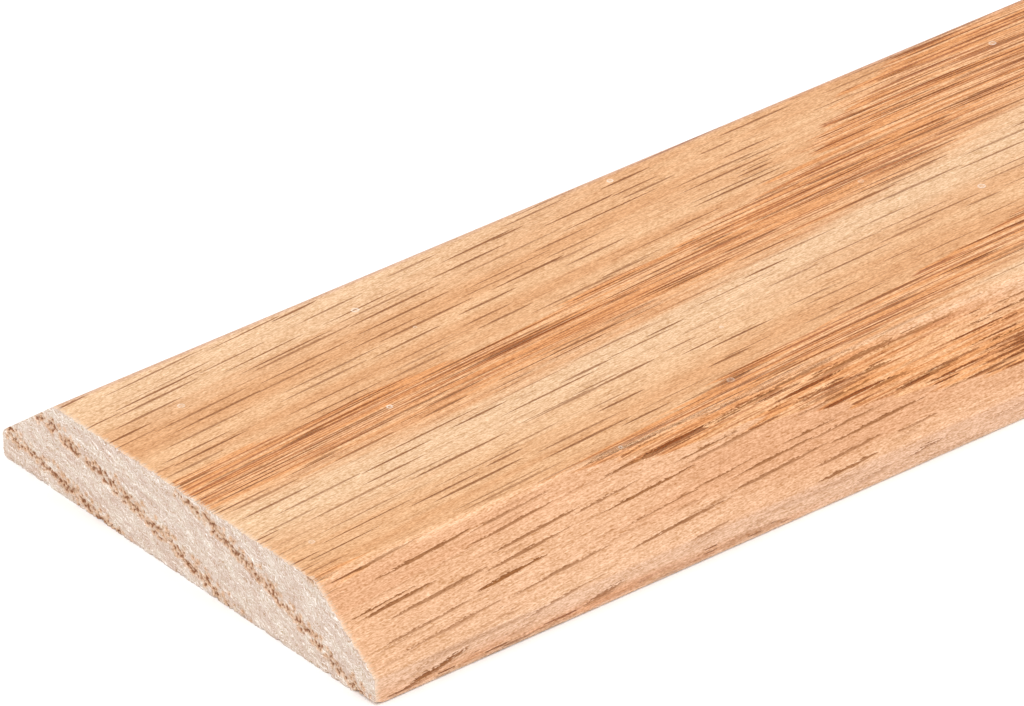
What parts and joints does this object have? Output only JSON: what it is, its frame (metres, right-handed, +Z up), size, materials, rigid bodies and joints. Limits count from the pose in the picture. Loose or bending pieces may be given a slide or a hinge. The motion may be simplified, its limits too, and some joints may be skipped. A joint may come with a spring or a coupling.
{
  "type": "threshold strip",
  "caption": "Solid oak threshold strip with a flat underside, a flat top and a wide bevel down each long side to a thin upright edge.",
  "frame": {"origin": "middle of the underside, on the floor", "axes": "+X along the strip and its grain, +Y across the strip, +Z up out of the floor"},
  "size_m": [0.9144, 0.0636, 0.0103],
  "materials": {
    "red_oak": "satin"
  },
  "bodies": {
    "root": {"oak_strip": "red_oak"}
  },
  "joints": []
}
